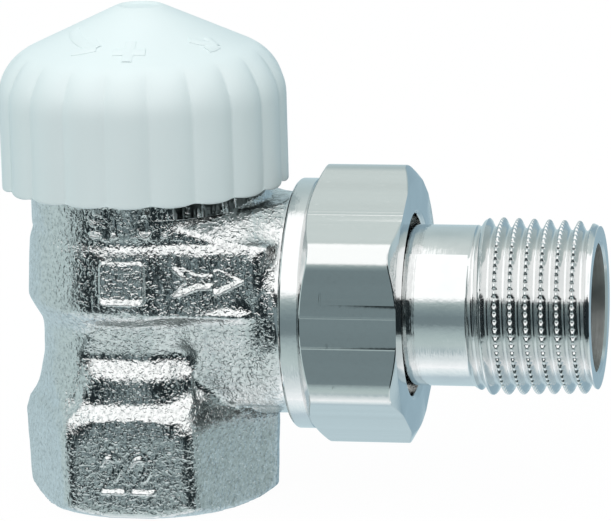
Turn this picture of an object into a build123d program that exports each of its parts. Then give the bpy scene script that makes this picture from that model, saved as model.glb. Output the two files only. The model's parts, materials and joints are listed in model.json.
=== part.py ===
"""Angle radiator valve body with protective cap, union nut and tail piece.

Millimetres. The origin is the centre of the inlet end face, +Z runs up the stem axis and +X
runs out along the outlet axis. The valve stands open, with the cap one turn above its stop.
"""
import os
from math import cos, radians, sin, sqrt, tan

from build123d import *

# Inlet hexagon
hex_flats = 27.0
hex_height = 12.1
hex_edge_round = 0.8
hex_land_r = 13.55
hex_foot_angle = 30.0
hex_crown_angle = 45.0
inlet_thread_r = 9.316
inlet_depth = 13.0
inlet_lead = 1.1
inlet_cone_angle = 60.0

# Cast barrel between hexagon and head
flare_flats = 26.0
flare_r = 15.3
flare_start = 10.9
flare_waist_r = 13.5
flare_waist = 14.2
flare_round = 3.5
neck_r = 12.7
neck_start = 18.0
neck_end = 22.1
neck_round = 2.0
bulge_r = 14.25
bulge_start = 24.5
bulge_end = 33.0
bulge_round = 2.0
collar_step = 1.2
collar_start = 33.8
collar_round = 0.4
pad_width = 13.3
pad_y = 13.05
pad_top = 17.2
pad_slope_top = 19.3
pad_slope_y = 12.2
panel_length = 14.3
panel_end = 17.2
panel_end_y = 11.6

# Cast marks on the front panel
mark_root = 1.2
mark_raise = 0.45
arrow_length = 8.2
arrow_end_gap = 0.1
arrow_head = 3.4
arrow_half_width = 1.9
arrow_shaft_half = 0.7
arrow_tail_half = 1.2
arrow_notch = 0.9
badge_width = 5.4
badge_height = 5.8
badge_round = 0.9

# Outlet
outlet_height = 23.5
outlet_reach = 54.4
outlet_r = 6.4
boss_r = 13.4
boss_end = 18.3
boss_chamfer = 0.7
spigot_thread_r = 13.1
spigot_chamfer = 0.8

# Head and its thread
head_start = 38.4
head_length = 6.6
head_chamfer = 0.7

# Seat and chamber
floor_drop = 0.2
seat_r = 5.5
seat_wall = 1.3
seat_lip = 1.7
seat_gap = 0.1
lift = 1.5
chamber_r = 9.6
insert_thread_r = 10.4
insert_thread_start = 34.5

# Clearances between fitted pieces
running_gap = 0.1
face_gap = 0.05

# Insert housing
housing_foot_gap = 0.3
housing_bore_r = 6.2
housing_flange_inset = 1.05
housing_flange = 3.0
housing_nose_r = 7.5
housing_nose = 3.0
housing_web = 2.5
insert_ring_wire_r = 0.9
insert_ring_height = 2.1

# Stem, spring and stops
stem_r = 2.0
stem_tip_chamfer = 0.4
stem_spigot_r = 1.5
stem_spigot_end = 0.3
guide_length = 2.0
spring_length = 6.8
spring_wire_r = 0.5
spring_coil_r = 3.6
spring_turns = 4.5
retainer_r = 5.4
retainer_thickness = 0.8
snap_ring_r = 3.2
snap_ring_thickness = 0.6
snap_ring_slot = 2.4
snap_groove_depth = 0.45
stop_gap = 0.6
pin_margin = 0.5

# Gland
gland_r = 4.0
gland_hex_flats = 11.0
gland_head = 2.5
stem_ring_wire_r = 0.85
gland_ring_wire_r = 0.42
gland_ring_below = 1.2
seal_washer_thickness = 0.6

# Disc
disc_r = 6.9
disc_thickness = 2.4
disc_proud = 0.8
holder_wall = 0.65
holder_back = 1.4
disc_washer_r = 3.8
disc_washer_thickness = 0.6
disc_nut_flats = 5.5
disc_nut_height = 2.2

# Protective cap
cap_r = 17.2
cap_lobes = 20
cap_groove = 0.55
cap_groove_angle = 13.0
cap_wall = 1.55
cap_dome_margin = 0.06
cap_overhang = 0.28
cap_shoulder_round = 4.2
cap_cone_angle = 23.3
cap_top_r = 2.7
cap_post = 1.9
cap_post_r = 3.2
cap_roof = 2.0
cap_inside_round = 1.5
cap_thread_gap = 0.2
cap_relief_gap = 0.32
cap_relief_margin = 0.35

# Union nut
nut_gap = 0.2
nut_collar_r = 14.92
nut_collar = 2.55
nut_collar_chamfer = 0.3
nut_flats = 30.0
nut_hex = 11.52
nut_edge_round = 2.8
nut_face_r = 15.15
nut_face_angle = 30.0
nut_back_angle = 30.0
nut_flange = 2.72
nut_hole_r = 10.81
nut_turn = 2.4

# Tail piece
tail_r = 9.565
tail_bore_r = 7.62
tail_bore_lead = 0.3
tail_flange_r = 12.3
tail_flange = 3.15
tail_nose_r = 10.1
tail_nose = 5.65
tail_nose_gap = 0.4
tail_shoulder = 1.9
tail_end_r = 9.64
tail_runout_r = 9.9
tail_runout = 0.45
mouth_gap = 0.15
union_ring_wire_r = 0.6
union_ring_back = 2.65
thread_r = 10.4775
thread_pitch = 1.814
thread_depth = 1.16
thread_crests = 7
thread_crest_land = 0.35
thread_root_land = 0.25

# Radii inside the cap, worked inwards from its grip
cap_inside_r = cap_r - cap_groove - cap_wall
head_thread_r = cap_inside_r - cap_thread_gap
collar_r = head_thread_r - collar_step
housing_flange_flats = sqrt(3) * (head_thread_r - housing_flange_inset)

# Heights along the stem axis
chamber_floor = outlet_height - outlet_r - floor_drop
seat_top = chamber_floor + seat_lip
disc_bottom = seat_top + lift + seat_gap
disc_top = disc_bottom + disc_thickness
holder_bottom = disc_bottom + disc_proud
holder_top = disc_top + holder_back
disc_washer_bottom = disc_bottom - disc_washer_thickness
disc_nut_bottom = disc_washer_bottom - disc_nut_height
head_top = head_start + head_length
housing_foot = outlet_height + outlet_r + housing_foot_gap
guide_top = housing_foot + guide_length
spring_top = guide_top + spring_length
retainer_top = spring_top + retainer_thickness
snap_ring_top = retainer_top + snap_ring_thickness
spring_room_top = snap_ring_top + stop_gap
gland_floor = spring_room_top + housing_web
flange_top = head_top + housing_flange
housing_top = flange_top + housing_nose
seal_washer_bottom = gland_floor + 2 * stem_ring_wire_r + face_gap
seal_washer_top = seal_washer_bottom + seal_washer_thickness
gland_top = housing_top + gland_head
pin_top = gland_top + lift + pin_margin
cap_skirt = head_start - cap_overhang
cap_post_foot = pin_top + face_gap
cap_ceiling = cap_post_foot + cap_post
cap_top = cap_ceiling + cap_roof
cap_relief = cap_skirt - lift - cap_relief_gap

# Distances along the outlet axis
nut_start = boss_end + nut_gap
nut_shoulder = nut_start + nut_collar
nut_end = nut_shoulder + nut_hex
nut_seat = nut_end - nut_flange
tail_back = nut_seat - face_gap
tail_face = tail_back - tail_flange
spigot_end = tail_face - face_gap
nose_tip = tail_face - tail_nose
mouth_bottom = nose_tip - tail_nose_gap
mouth_r = tail_nose_r + mouth_gap
union_ring_place = tail_face - union_ring_back
thread_start = outlet_reach - thread_crests * thread_pitch
thread_root_r = thread_r - thread_depth

outlet_axis = Pos(0, 0, outlet_height) * Rot(0, 90, 0)


def turned(*outline):
    """Solid turned about Z from (radius, height) corners."""
    return revolve(Plane.XZ * make_face(Polyline(*outline, close=True)), Axis.Z)


def turned_round(corners):
    """Solid turned about Z from (radius, height, corner round) triples."""
    points = [(radius, height) for radius, height, _ in corners]
    rounds = [corner_round for _, _, corner_round in corners]
    outline = FilletPolyline(*points, radius=rounds, close=True)
    return revolve(Plane.XZ * make_face(outline), Axis.Z)


def tube(inner_r, outer_r, bottom, top):
    """Straight ring between two heights."""
    return turned((inner_r, bottom), (outer_r, bottom), (outer_r, top), (inner_r, top))


def rod(radius, bottom, top):
    """Straight round bar between two heights."""
    return Pos(0, 0, bottom) * extrude(Circle(radius), top - bottom)


def hexagon(flats, bottom, top):
    """Hexagon bar with two corners on the X axis."""
    section = RegularPolygon(flats / 2, 6, major_radius=False)
    return Pos(0, 0, bottom) * extrude(section, top - bottom)


def seal_ring(inner_r, wire_r, height):
    """Round-section ring lying level, with its middle at a height."""
    return Pos(0, 0, height) * Torus(inner_r + wire_r, wire_r)


def rise(run, angle):
    """Height that a slope at an angle gains over a run."""
    return run * tan(radians(angle))


def inlet_hexagon():
    """Hexagon with rounded corners, a turned foot and a turned crown."""
    bar = hexagon(hex_flats, 0, hex_height)
    bar = fillet(bar.edges().filter_by(Axis.Z), hex_edge_round)
    flat_r = hex_flats / 2
    outside = hex_flats / sqrt(3) + 1
    envelope = turned(
        (0, 0),
        (hex_land_r, 0),
        (outside, rise(outside - hex_land_r, hex_foot_angle)),
        (outside, hex_height - rise(outside - flat_r, hex_crown_angle)),
        (flat_r, hex_height),
        (0, hex_height),
    )
    return bar & envelope


def barrel():
    """Cast barrel: six-sided flare above the hexagon, round neck, bulge and collar."""
    mould = hexagon(flare_flats, flare_start, neck_start) + rod(flare_r, neck_start, head_start)
    form = turned_round([
        (0, flare_start, 0),
        (flare_r, flare_start, 0),
        (flare_waist_r, flare_waist, flare_round),
        (neck_r, neck_start, flare_round),
        (neck_r, neck_end, neck_round),
        (bulge_r, bulge_start, bulge_round),
        (bulge_r, bulge_end, collar_round),
        (collar_r, collar_start, collar_round),
        (collar_r, head_start, 0),
        (0, head_start, 0),
    ])
    return form & mould


def side_pads():
    """Flat cast pads above the front and back flats of the hexagon."""
    half = [(pad_y, flare_start), (pad_y, pad_top), (pad_slope_y, pad_slope_top)]
    mirrored = [(-y, z) for y, z in reversed(half)]
    section = Plane.YZ * make_face(Polyline(*half, *mirrored, close=True))
    return extrude(section, pad_width / 2, both=True)


def side_panels():
    """Flat panels that carry the bulge on along the outlet boss, front and back."""
    half = [(0, bulge_r), (panel_length, bulge_r), (panel_end, panel_end_y)]
    mirrored = [(x, -y) for x, y in reversed(half)]
    section = make_face(Polyline(*half, *mirrored, close=True))
    return Pos(0, 0, bulge_start) * extrude(section, bulge_end - bulge_start)


def cast_marks():
    """Flow arrow and a bare badge, raised on the front panel."""
    middle = (bulge_start + bulge_end) / 2
    tip = panel_length - arrow_end_gap
    tail = tip - arrow_length
    neck = tip - arrow_head
    upper = [
        (tail, arrow_tail_half),
        (tail + arrow_notch, arrow_shaft_half),
        (neck, arrow_shaft_half),
        (neck - arrow_notch, arrow_half_width),
        (tip, 0),
    ]
    lower = [(x, -z) for x, z in reversed(upper[:-1])]
    arrow = make_face(Polyline(*upper, *lower, (tail + arrow_notch, 0), close=True))
    badge = RectangleRounded(badge_width, badge_height, badge_round)
    front = Plane.XZ.offset(bulge_r - mark_root)
    marks = front * (Pos(0, middle) * (arrow + badge))
    return extrude(marks, mark_root + mark_raise)


def outlet_boss():
    """Boss that widens from the neck to the union nut."""
    return outlet_axis * turned(
        (0, 0),
        (neck_r, 0),
        (boss_r, boss_end - boss_chamfer),
        (boss_r - boss_chamfer, boss_end),
        (0, boss_end),
    )


def outlet_spigot():
    """Threaded spigot under the union nut, with its thread as a plain cylinder."""
    return outlet_axis * turned(
        (0, 0),
        (spigot_thread_r, 0),
        (spigot_thread_r, spigot_end - spigot_chamfer),
        (spigot_thread_r - spigot_chamfer, spigot_end),
        (0, spigot_end),
    )


def valve_head():
    """Head under the cap, with its thread as a plain cylinder."""
    return turned(
        (0, head_start),
        (head_thread_r - head_chamfer, head_start),
        (head_thread_r, head_start + head_chamfer),
        (head_thread_r, head_top - head_chamfer),
        (head_thread_r - head_chamfer, head_top),
        (0, head_top),
    )


def stem_axis_cavity():
    """Inlet bore, seat with its raised lip, chamber and insert bore, bottom to top."""
    cone_top = inlet_depth + rise(inlet_thread_r - seat_r, 90 - inlet_cone_angle)
    lip_r = seat_r + seat_wall
    return turned(
        (0, 0),
        (inlet_thread_r + inlet_lead, 0),
        (inlet_thread_r, inlet_lead),
        (inlet_thread_r, inlet_depth),
        (seat_r, cone_top),
        (seat_r, seat_top),
        (lip_r, seat_top),
        (lip_r, chamber_floor),
        (chamber_r, chamber_floor),
        (chamber_r, insert_thread_start),
        (insert_thread_r, insert_thread_start),
        (insert_thread_r, head_top),
        (0, head_top),
    )


def outlet_cavity():
    """Side passage from the chamber and the wider mouth for the tail's nose."""
    passage_start = seat_r + seat_wall + running_gap
    return outlet_axis * turned(
        (0, passage_start),
        (outlet_r, passage_start),
        (outlet_r, mouth_bottom),
        (mouth_r, mouth_bottom),
        (mouth_r, spigot_end),
        (0, spigot_end),
    )


def make_valve_body():
    """Cast and machined body in one piece, seat included."""
    cast = inlet_hexagon() + barrel() + side_pads() + side_panels() + cast_marks() + outlet_boss()
    cast -= tube(collar_r, cap_r + cap_relief_margin, cap_relief, head_start)
    return cast + outlet_spigot() + valve_head() - stem_axis_cavity() - outlet_cavity()


def make_insert_housing():
    """Bonnet that screws into the head and holds spring, stem and gland."""
    shank_r = chamber_r - running_gap
    groove_r = shank_r + face_gap - 2 * insert_ring_wire_r - face_gap
    groove_middle = housing_foot + insert_ring_height
    groove_half = insert_ring_wire_r + face_gap
    screw_start = insert_thread_start + running_gap
    screw_r = insert_thread_r - running_gap
    shank = turned(
        (0, housing_foot),
        (shank_r, housing_foot),
        (shank_r, groove_middle - groove_half),
        (groove_r, groove_middle - groove_half),
        (groove_r, groove_middle + groove_half),
        (shank_r, groove_middle + groove_half),
        (shank_r, screw_start),
        (screw_r, screw_start),
        (screw_r, head_top),
        (0, head_top),
    )
    flange = hexagon(housing_flange_flats, head_top, flange_top)
    nose = rod(housing_nose_r, flange_top, housing_top)
    bores = (
        rod(housing_bore_r, housing_foot, spring_room_top)
        + rod(stem_r + running_gap, spring_room_top, gland_floor)
        + rod(gland_r, gland_floor, housing_top)
    )
    return shank + flange + nose - bores


def make_insert_o_ring():
    """Seal between the bonnet's shank and the chamber wall."""
    inner_r = chamber_r - face_gap - 2 * insert_ring_wire_r
    return seal_ring(inner_r, insert_ring_wire_r, housing_foot + insert_ring_height)


def make_stem_guide():
    """Bush at the foot of the bonnet that guides the stem and carries the spring."""
    return tube(stem_r + running_gap, housing_bore_r - face_gap, housing_foot, guide_top)


def make_return_spring():
    """Compression spring between guide and retainer."""
    foot = guide_top + spring_wire_r + face_gap
    height = spring_length - 2 * (spring_wire_r + face_gap)
    coil = Helix(height / spring_turns, height, spring_coil_r, center=(0, 0, foot))
    section = Plane(coil @ 0, z_dir=coil % 0) * Circle(spring_wire_r)
    return sweep(section, coil, is_frenet=True)


def make_spring_retainer():
    """Washer on which the spring pushes."""
    return tube(stem_r + face_gap, retainer_r, spring_top, retainer_top)


def make_retaining_ring():
    """Open snap ring in the stem's groove."""
    inner_r = stem_r - snap_groove_depth + face_gap
    ring = tube(inner_r, snap_ring_r, retainer_top, snap_ring_top)
    slot = Pos(snap_ring_r, 0, retainer_top) * Box(
        2 * snap_ring_r, snap_ring_slot, 2 * snap_ring_thickness
    )
    return ring - slot


def make_stem():
    """Push pin with a snap ring groove and a thin spigot for the disc."""
    groove_r = stem_r - snap_groove_depth
    groove_top = snap_ring_top + face_gap
    stem_foot = disc_nut_bottom - stem_spigot_end
    return turned(
        (0, stem_foot),
        (stem_spigot_r, stem_foot),
        (stem_spigot_r, holder_top),
        (stem_r, holder_top),
        (stem_r, retainer_top),
        (groove_r, retainer_top),
        (groove_r, groove_top),
        (stem_r, groove_top),
        (stem_r, pin_top - stem_tip_chamfer),
        (stem_r - stem_tip_chamfer, pin_top),
        (0, pin_top),
    )


def make_stem_o_ring():
    """Seal on the stem, at the bottom of the gland bore."""
    return seal_ring(stem_r + running_gap, stem_ring_wire_r, gland_floor + stem_ring_wire_r)


def make_o_ring_washer():
    """Back-up washer above the stem seal."""
    return tube(stem_r + running_gap, gland_r - face_gap, seal_washer_bottom, seal_washer_top)


def gland_ring_inner_r():
    """Inner radius of the seal in the gland nut's groove."""
    return gland_r - face_gap - 2 * gland_ring_wire_r


def make_gland_nut():
    """Screw that closes the stem seal, with a hexagon head and a seal groove."""
    shank = rod(gland_r - face_gap, seal_washer_top + face_gap, housing_top)
    head = hexagon(gland_hex_flats, housing_top, gland_top)
    ring_middle = housing_top - gland_ring_below
    ring_half = gland_ring_wire_r + face_gap
    groove = tube(gland_ring_inner_r() - face_gap, gland_r, ring_middle - ring_half, ring_middle + ring_half)
    return shank + head - groove - rod(stem_r + running_gap, seal_washer_top, gland_top)


def make_gland_o_ring():
    """Outer seal of the gland nut."""
    return seal_ring(gland_ring_inner_r(), gland_ring_wire_r, housing_top - gland_ring_below)


def make_disc_holder():
    """Cup that carries the rubber disc."""
    return turned(
        (stem_spigot_r + face_gap, disc_top),
        (disc_r + face_gap, disc_top),
        (disc_r + face_gap, holder_bottom),
        (disc_r + holder_wall, holder_bottom),
        (disc_r + holder_wall, holder_top),
        (stem_spigot_r + face_gap, holder_top),
    )


def make_valve_disc():
    """Rubber disc that closes on the seat."""
    return tube(stem_spigot_r + face_gap, disc_r, disc_bottom, disc_top)


def make_disc_washer():
    """Washer under the disc."""
    return tube(stem_spigot_r + face_gap, disc_washer_r, disc_washer_bottom, disc_bottom)


def make_disc_nut():
    """Nut that clamps washer, disc and holder on the stem."""
    bar = hexagon(disc_nut_flats, disc_nut_bottom, disc_washer_bottom)
    return bar - rod(stem_spigot_r + face_gap, disc_nut_bottom, disc_washer_bottom)


def cap_section():
    """Scalloped outline of the cap's grip: lobes that meet at narrow grooves."""
    step = 360 / cap_lobes

    def spot(radius, turn):
        return (radius * cos(radians(turn)), radius * sin(radians(turn)))

    arcs = []
    for lobe in range(cap_lobes):
        start = cap_groove_angle + lobe * step
        groove_r = cap_r - cap_groove
        ends = (spot(groove_r, start), spot(groove_r, start + step))
        arcs.append(ThreePointArc(ends[0], spot(cap_r, start + step / 2), ends[1]))
    return make_face(arcs)


def make_protective_cap():
    """Screw cap with a lobed grip, a domed top and a post that pushes the stem."""
    dome_r = cap_r + cap_dome_margin
    shoulder = cap_top - rise(dome_r - cap_top_r, cap_cone_angle)
    inside_shoulder = cap_ceiling - rise(cap_inside_r - cap_top_r, cap_cone_angle)
    grip = Pos(0, 0, cap_skirt) * extrude(cap_section(), cap_top - cap_skirt)
    dome = turned_round([
        (0, cap_skirt, 0),
        (dome_r, cap_skirt, 0),
        (dome_r, shoulder, cap_shoulder_round),
        (cap_top_r, cap_top, 0),
        (0, cap_top, 0),
    ])
    inside = turned_round([
        (0, cap_skirt, 0),
        (cap_inside_r, cap_skirt, 0),
        (cap_inside_r, inside_shoulder, cap_inside_round),
        (cap_top_r, cap_ceiling, 0),
        (0, cap_ceiling, 0),
    ])
    post = rod(cap_post_r, cap_post_foot, cap_ceiling + cap_roof / 2)
    return (grip & dome) - inside + post


def make_union_nut():
    """Hexagon union nut with a round collar and an inner flange behind the tail."""
    bar = hexagon(nut_flats, nut_shoulder, nut_end)
    bar = Rot(0, 0, -nut_turn) * fillet(bar.edges().filter_by(Axis.Z), nut_edge_round)
    outside = nut_flats / sqrt(3) + 1
    envelope = turned(
        (0, nut_shoulder),
        (nut_collar_r, nut_shoulder),
        (outside, nut_shoulder + rise(outside - nut_collar_r, nut_back_angle)),
        (outside, nut_end - rise(outside - nut_face_r, nut_face_angle)),
        (nut_face_r, nut_end),
        (0, nut_end),
    )
    collar = turned(
        (0, nut_start),
        (nut_collar_r - nut_collar_chamfer, nut_start),
        (nut_collar_r, nut_start + nut_collar_chamfer),
        (nut_collar_r, nut_shoulder),
        (0, nut_shoulder),
    )
    thread = rod(spigot_thread_r + running_gap, nut_start, nut_seat)
    hole = rod(nut_hole_r, nut_seat, nut_end)
    return outlet_axis * ((bar & envelope) + collar - thread - hole)


def thread_outline():
    """Corners of the tail's pipe thread, as rings with a flat crest, inner end first."""
    half_crest = thread_crest_land / 2
    half_root = thread_root_land / 2
    corners = []
    for crest in range(thread_crests):
        middle = thread_start + crest * thread_pitch
        valley = middle + thread_pitch / 2
        corners += [
            (thread_r, middle - half_crest),
            (thread_r, middle + half_crest),
            (thread_root_r, valley - half_root),
            (thread_root_r, valley + half_root),
        ]
    return corners


def union_ring_inner_r():
    """Inner radius of the seal in the groove of the tail's nose."""
    return tail_nose_r + face_gap - 2 * union_ring_wire_r


def make_tail_piece():
    """Tail with a sealed nose, a flange behind the nut, a plain shank and a pipe thread."""
    ring_half = union_ring_wire_r + face_gap
    groove_r = union_ring_inner_r() - face_gap
    return outlet_axis * turned(
        (tail_bore_r, nose_tip),
        (tail_nose_r, nose_tip),
        (tail_nose_r, union_ring_place - ring_half),
        (groove_r, union_ring_place - ring_half),
        (groove_r, union_ring_place + ring_half),
        (tail_nose_r, union_ring_place + ring_half),
        (tail_nose_r, tail_face),
        (tail_flange_r, tail_face),
        (tail_flange_r, tail_back),
        (tail_r, tail_back),
        (tail_r, thread_start - thread_crest_land / 2 - tail_shoulder),
        *thread_outline(),
        (tail_runout_r, outlet_reach - tail_runout),
        (tail_end_r, outlet_reach),
        (tail_bore_r + tail_bore_lead, outlet_reach),
        (tail_bore_r, outlet_reach - tail_bore_lead),
    )


def make_union_o_ring():
    """Seal on the nose of the tail piece."""
    return outlet_axis * seal_ring(union_ring_inner_r(), union_ring_wire_r, union_ring_place)


pieces = {
    "valve_body": make_valve_body(),
    "protective_cap": make_protective_cap(),
    "union_nut": make_union_nut(),
    "tail_piece": make_tail_piece(),
    "union_o_ring": make_union_o_ring(),
    "insert_housing": make_insert_housing(),
    "insert_o_ring": make_insert_o_ring(),
    "stem": make_stem(),
    "stem_guide": make_stem_guide(),
    "return_spring": make_return_spring(),
    "spring_retainer": make_spring_retainer(),
    "retaining_ring": make_retaining_ring(),
    "gland_nut": make_gland_nut(),
    "gland_o_ring": make_gland_o_ring(),
    "stem_o_ring": make_stem_o_ring(),
    "o_ring_washer": make_o_ring_washer(),
    "disc_holder": make_disc_holder(),
    "valve_disc": make_valve_disc(),
    "disc_washer": make_disc_washer(),
    "disc_nut": make_disc_nut(),
}

os.makedirs("parts", exist_ok=True)
for name, piece in pieces.items():
    export_step(piece, f"parts/{name}.step")
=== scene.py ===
"""Looks of the angle radiator valve: cast body, lobed cap, union nut and tail with a beaded thread.

Lengths are written in millimetres and turned into metres where a mesh or a node is made.
"""

import json
from math import atan, atan2, cos, pi, radians, sin, sqrt, tan

import bmesh
import bpy
import numpy as np
from mathutils import Matrix, Vector, noise
from mathutils.bvhtree import BVHTree


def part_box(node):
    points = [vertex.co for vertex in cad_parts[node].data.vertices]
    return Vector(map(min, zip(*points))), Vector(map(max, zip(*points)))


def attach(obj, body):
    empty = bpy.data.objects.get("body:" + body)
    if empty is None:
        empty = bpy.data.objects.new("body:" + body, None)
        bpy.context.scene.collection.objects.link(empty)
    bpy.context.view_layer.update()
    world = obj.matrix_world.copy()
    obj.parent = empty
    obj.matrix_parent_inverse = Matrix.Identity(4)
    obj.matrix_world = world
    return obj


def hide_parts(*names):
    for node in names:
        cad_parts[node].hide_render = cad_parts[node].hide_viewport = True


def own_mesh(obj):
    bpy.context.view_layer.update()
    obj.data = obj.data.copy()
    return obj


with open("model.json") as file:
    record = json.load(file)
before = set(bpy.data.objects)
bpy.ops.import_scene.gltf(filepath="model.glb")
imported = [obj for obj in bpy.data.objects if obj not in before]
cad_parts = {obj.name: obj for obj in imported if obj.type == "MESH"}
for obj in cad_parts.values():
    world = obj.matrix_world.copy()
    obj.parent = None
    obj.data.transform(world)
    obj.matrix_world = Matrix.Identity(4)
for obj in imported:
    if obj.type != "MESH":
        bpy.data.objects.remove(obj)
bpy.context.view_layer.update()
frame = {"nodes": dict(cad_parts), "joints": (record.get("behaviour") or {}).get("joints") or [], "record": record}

MM = 0.001

# Camera, fitted to the photograph: angles in degrees, lengths in millimetres, the rest in pixels
image_width = 611
camera_azimuth = 11.0
camera_elevation = 12.275
camera_roll = -1.532
camera_distance = 570.849
camera_aim = (19.532, 0.0, 31.591)
camera_focus_px = 4798.227
camera_shift_px = (1.858, -24.056)
sensor_width = 36.0

# Studio colours, by the angle from straight ahead over the top to straight behind, in degrees;
# an edge is where a part starts and is full, as a share of the level reach or of the height
studio_back = (0.55, 0.70, 0.75)
studio_below = (
    (-180, studio_back),
    (-128, (0.60, 0.75, 0.81)),
    (-114, (0.58, 0.71, 0.78)),
    (-104, (0.91, 1.03, 1.06)),
    (-96, (1.26, 1.28, 1.30)),
    (-82, (1.26, 1.28, 1.30)),
    (-75, (1.05, 1.11, 1.13)),
)
studio_front = (
    (-68, (0.65, 0.755, 0.80)),
    (-61, (0.46, 0.565, 0.61)),
    (-54, (0.52, 0.63, 0.655)),
    (-46, (0.595, 0.71, 0.71)),
    (-36, (0.54, 0.66, 0.66)),
    (-29, (0.50, 0.615, 0.62)),
    (-21, (0.39, 0.49, 0.505)),
    (-14, (0.222, 0.29, 0.308)),
    (-4, (0.215, 0.285, 0.305)),
    (5, (0.285, 0.37, 0.385)),
    (11, (0.36, 0.45, 0.455)),
    (16, (0.50, 0.60, 0.60)),
)
studio_dark = (
    (-68, (0.88, 0.96, 0.98)),
    (-54, (0.80, 0.90, 0.91)),
    (-42, (0.80, 0.91, 0.91)),
    (-35, (0.58, 0.70, 0.71)),
    (-28, (0.02, 0.03, 0.034)),
    (20, (0.018, 0.025, 0.028)),
)
studio_above = (
    (22, (1.39, 1.41, 1.41)),
    (106, (1.39, 1.41, 1.41)),
    (109, (0.79, 0.87, 0.855)),
    (135, (0.55, 0.66, 0.67)),
    (180, studio_back),
)
studio_left = (0.60, 0.735, 0.745)
studio_right = (0.37, 0.47, 0.48)
studio_back_right = (0.335, 0.475, 0.555)
studio_fold = 6.0
studio_front_edge = (0.98, 0.997)
studio_left_edge = (-0.84, -0.95)
studio_right_edge = (0.82, 0.94)
studio_side_height = (0.75, 0.5)
studio_behind_edge = (0.1, -0.1)
back_right_start = (-0.05, 0.14)
back_right_end = (0.8, 0.6)
lamp_power = 2.3
lamp_size = 0.5
lamp_azimuth = -3.0
lamp_elevation = 32.0
lamp_distance = 0.9
floor_reach = 4.0
floor_white = 0.97
floor_glow = 0.97

# Cap, with its button as (outwards from its edge, down from its top)
cap_r = 17.2
cap_wall = 1.55
cap_lobes = 20
cap_lobe_steps = 22
cap_groove = 0.46
cap_groove_power = 2.2
cap_groove_angle = 14.8
cap_shoulder_round = 6.5
cap_cone_angle = 25.0
cap_top_r = 2.7
cap_button_foot = 0.35
cap_button = ((0.15, 0.1), (-0.05, 0.0), (-0.35, 0.0), (-0.6, 0.16), (-1.485, 0.16), (-2.699, 0.16))
cap_rim_round = 0.3
cap_rim_steps = 4
cap_side_rows = 14
cap_shoulder_steps = 14
cap_cone_rows = 24
cap_fade_outer_r = 16.6
cap_fade_inner_r = 13.8
cap_roof = 2.0
cap_corner = 3.0
cap_corner_drop = 2.2
cap_lead = 0.3
cap_margin = 0.35
cap_lip = 2.5
cap_clear_x = 2.0
axis_r = 0.001

# Marks on the cap's cone: places as (radius, azimuth in degrees), section as shares of width and lift
cap_mark_width = 1.25
cap_mark_lift = 0.15
cap_mark_section = ((-0.5, -2.0), (-0.5, 0.4), (-0.32, 1.0), (0.32, 1.0), (0.5, 0.4), (0.5, -2.0))
cap_plus = (
    ((8.9, -84.0), (10.8, -84.5), (12.7, -85.0)),
    ((10.95, -94.6), (10.85, -90.0), (10.8, -84.5), (10.85, -79.0), (10.95, -74.4)),
)
long_arc = ((8.0, -152.0), (10.3, -110.0), 12)
long_arc_head = (
    ((10.35, -107.0), (10.95, -114.0), (11.5, -121.0)),
    ((10.35, -107.0), (9.7, -112.5), (8.9, -118.0)),
)
short_arc = ((9.4, -40.0), (11.1, -26.0), 6)
short_arc_head = (
    ((11.3, -26.0), (11.55, -31.0), (11.6, -36.0)),
    ((11.3, -26.0), (10.6, -25.0), (9.8, -24.0)),
)

# Union nut
nut_flats = 30.0
nut_edge_round = 3.6
nut_edge_break = 0.09
nut_turn = -2.4
nut_collar = 2.55
nut_collar_r = 14.92
nut_collar_chamfer = 0.3
nut_groove = 0.14
nut_groove_x = (0.22, 0.08)
nut_groove_step = 0.02
nut_face_r = 15.15
nut_chamfer_angle = 30.0
nut_hole_r = 10.81
nut_hole_chamfer = 0.4
nut_flange = 2.72
nut_thread_r = 13.2
nut_thread_lead = 0.5
nut_columns = 1440
nut_lines = ((1.1, 0.018), (-2.5, 0.03), (3.4, 0.008))
nut_line_half = 0.11
nut_line_spread = 5.2
nut_line_turn = 1.7
nut_line_fade = 0.5

# Tail piece and its thread
tail_r = 9.565
tail_bore_r = 7.62
tail_bore_lead = 0.3
tail_bore_margin = 0.1
tail_flange_r = 12.3
tail_nose_r = 10.1
tail_nose_chamfer = 0.4
tail_end_r = 9.64
tail_flange = 3.15
tail_nose = 5.65
tail_ring_back = 2.65
tail_ring_half = 0.65
tail_ring_depth = 1.2
thread_pitch = 1.814
thread_depth = 1.16
thread_r = 10.5
thread_taper = 1 / 32
thread_front_crest = 43.4
thread_start = 39.75
thread_ramp = 1.65
thread_chamfer = 1.5
thread_end_step = 0.3
thread_run_in = 0.35
thread_run_out = 0.3
beads_per_turn = 68
bead_steps = 8
bead_depth = 0.28
bead_lead = (1.2, 0.6)

# Cast body: mesh and skin
body_voxel = 0.39
first_relax = 0.35
first_rounds = 3
cast_rounds = 8
flat_relax = 0.3
flat_relax_top = 10.2
cast_inner_r = 11.3
cast_z = (0.25, 38.2)
cast_end_x = 18.1
outlet_start_x = 9.0
outlet_cast_r = 11.0
cast_lump = 2.4
cast_lump_height = 0.045
cast_grain = 0.95
cast_grain_height = 0.03
tiny = 1e-6

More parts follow.
